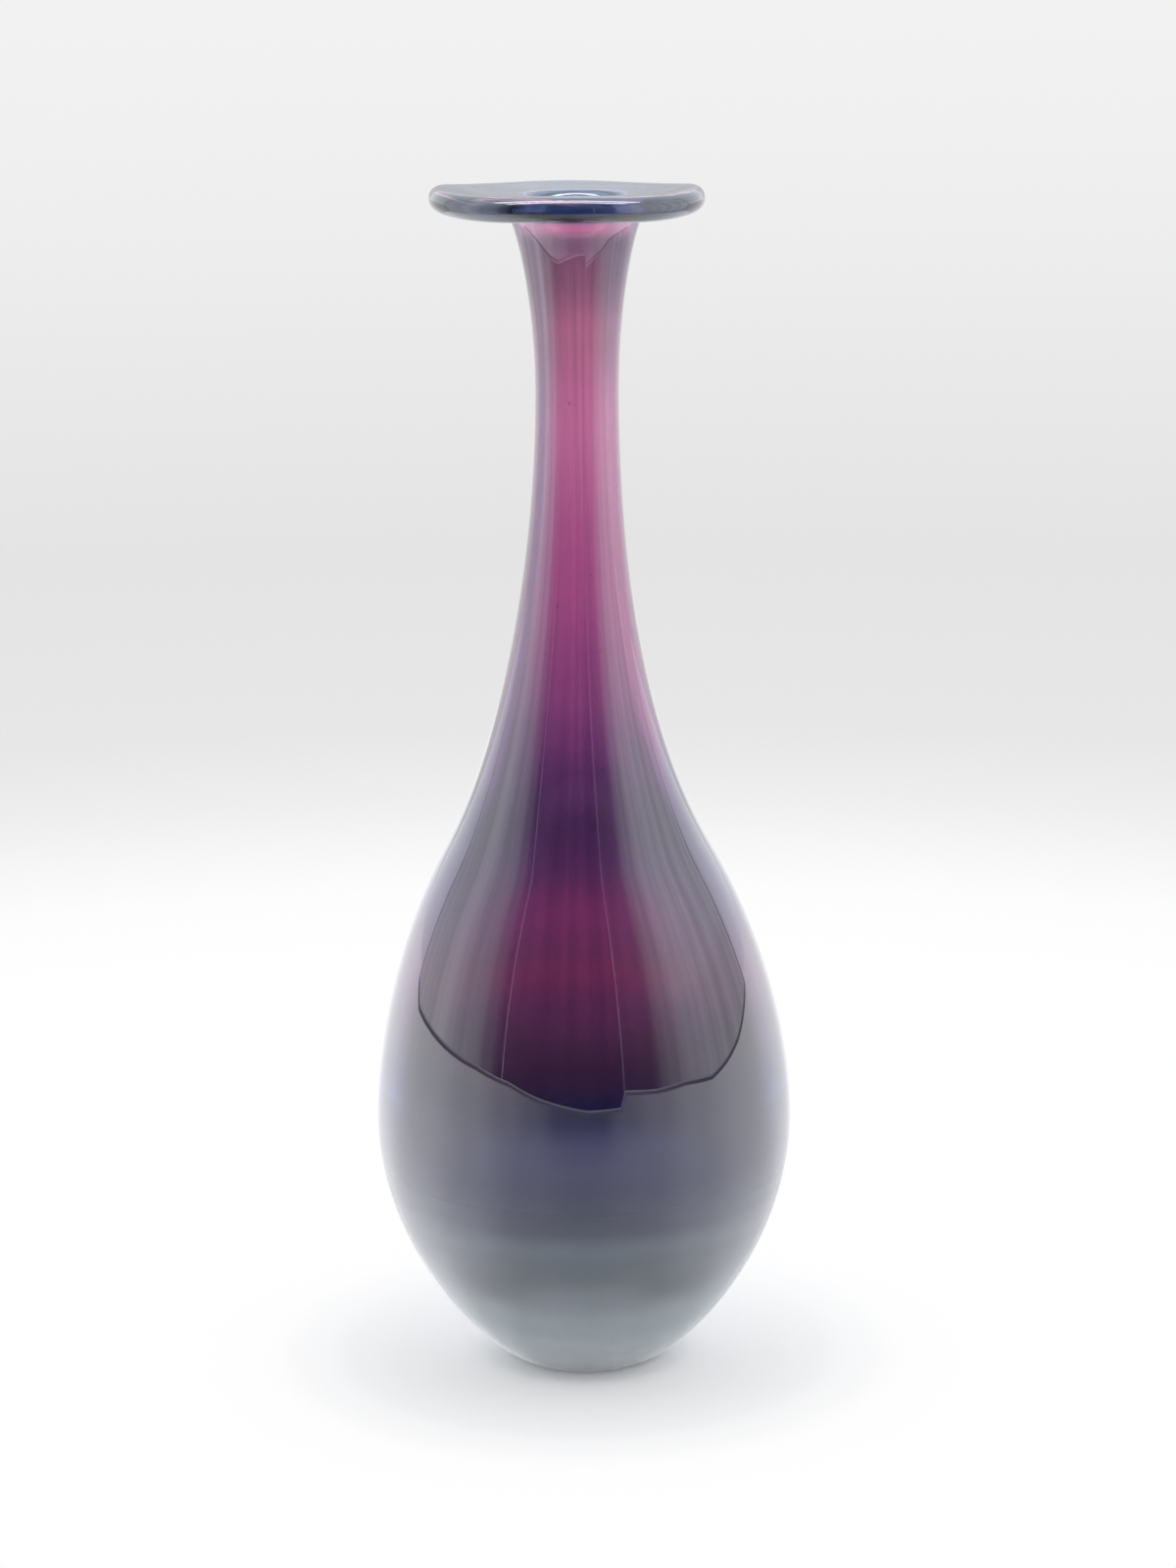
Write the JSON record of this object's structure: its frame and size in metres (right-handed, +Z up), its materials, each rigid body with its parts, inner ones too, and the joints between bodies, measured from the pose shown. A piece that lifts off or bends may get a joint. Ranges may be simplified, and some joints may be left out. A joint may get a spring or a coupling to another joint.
{
  "type": "art glass vase",
  "caption": "Free-blown bottle vase in amethyst glass: full belly, long slender neck, thick wavy flared lip, heavy solid base with a ground foot.",
  "frame": {"origin": "middle of the foot, on the surface that the vase stands on", "axes": "+Z up along the vase, -Y towards the side that the picture shows, +X to its right"},
  "size_m": [0.1054, 0.1054, 0.298],
  "materials": {
    "amethyst_glass": "fire-polished",
    "smoky_glass": "fire-polished, foot ground and punt polished",
    "lip_glass": "fire-polished"
  },
  "bodies": {
    "root": {"amethyst_bubble": "amethyst_glass", "smoky_casing": "smoky_glass", "lip_wrap": "lip_glass"}
  },
  "joints": []
}
